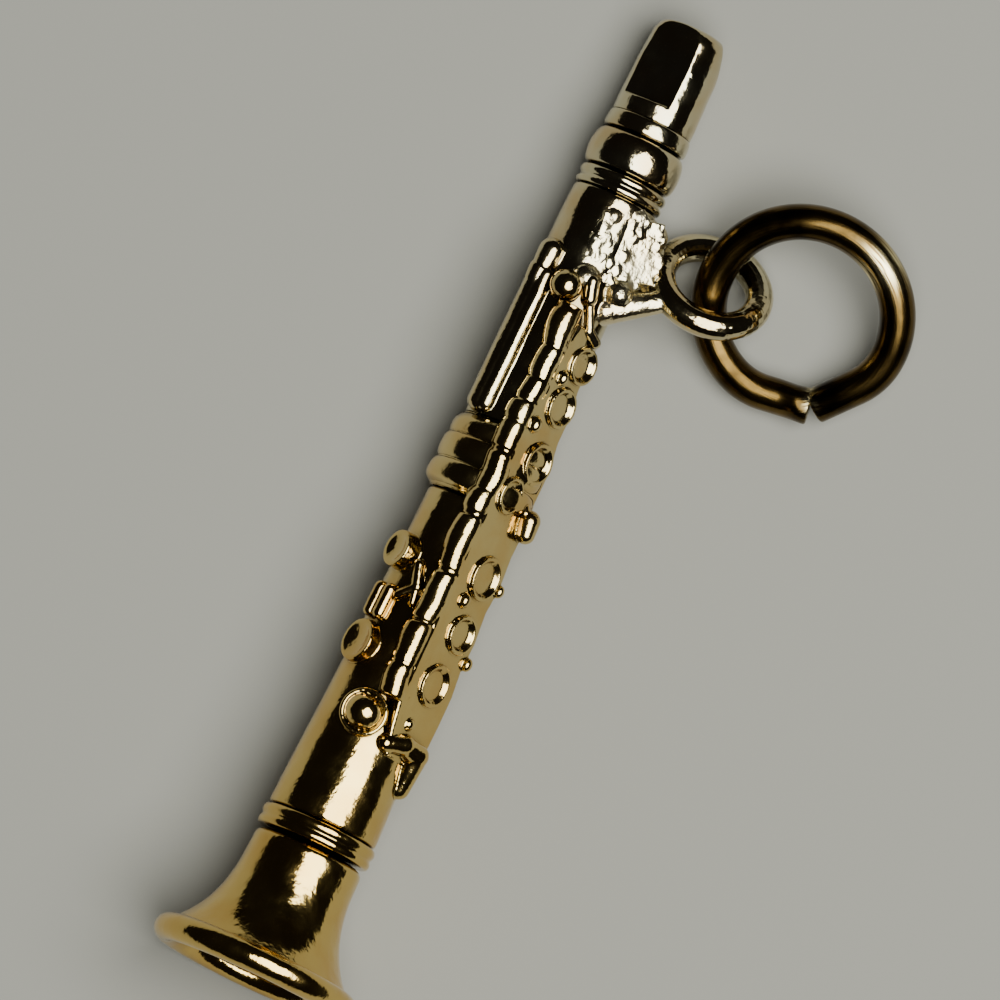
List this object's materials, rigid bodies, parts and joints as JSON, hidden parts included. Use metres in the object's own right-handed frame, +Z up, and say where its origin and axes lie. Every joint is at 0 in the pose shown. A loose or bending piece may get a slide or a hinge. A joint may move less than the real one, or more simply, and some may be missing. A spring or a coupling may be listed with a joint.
{
  "type": "clarinet charm",
  "caption": "Miniature clarinet charm: a cast gold clarinet with keys in relief and a flared bell, a soldered bail on its side, and an open wire jump ring that swings in the bail.",
  "frame": {"origin": "on the surface that the charm lies on, under the middle of the whole object's box", "axes": "+X along the clarinet from its mouthpiece to its bell, +Y towards the bail and jump ring, +Z up, away from the surface, with the keys on top"},
  "size_m": [0.0292, 0.0122, 0.006],
  "materials": {
    "cast_gold": "polished yellow gold casting with dark recesses",
    "pale_cast_gold": "polished pale gold casting",
    "silver_solder": "rough bright run of solder",
    "ring_brass": "tarnished drawn wire"
  },
  "bodies": {
    "charm": {"mouthpiece": "pale_cast_gold", "reed_band": "pale_cast_gold", "barrel": "pale_cast_gold", "barrel_ring": "pale_cast_gold", "upper_joint": "pale_cast_gold", "middle_collar": "cast_gold", "lower_joint": "cast_gold", "bell_ring": "cast_gold", "bell": "cast_gold", "bell_rim": "cast_gold", "key_bed": "cast_gold", "key_rod": "cast_gold", "key_rod_ball": "cast_gold", "low_cup": "cast_gold", "low_cup_ball": "cast_gold", "side_rod": "pale_cast_gold", "side_rod_knob": "pale_cast_gold", "tone_cup_1": "cast_gold", "tone_cup_2": "cast_gold", "tone_cup_3": "cast_gold", "tone_cup_4": "cast_gold", "tone_cup_5": "cast_gold", "tone_cup_6": "cast_gold", "tone_cup_7": "cast_gold", "trill_pad": "cast_gold", "edge_beads": "cast_gold", "throat_key": "pale_cast_gold", "throat_beads": "pale_cast_gold", "left_cup": "cast_gold", "left_lever": "cast_gold", "left_bar": "cast_gold", "left_low_cup": "cast_gold", "foot_key": "cast_gold", "bail_ring": "pale_cast_gold", "bail_solder": "silver_solder"},
    "jump_ring": {"jump_ring": "ring_brass"}
  },
  "joints": [
    {"name": "jump_ring_swing", "type": "hinge", "parent": "charm", "child": "jump_ring", "pos_m": [-0.00876, 0.00033, 0.00141], "axis": [0.9385, 0, -0.3451], "range_deg": [-105, 105]}
  ]
}
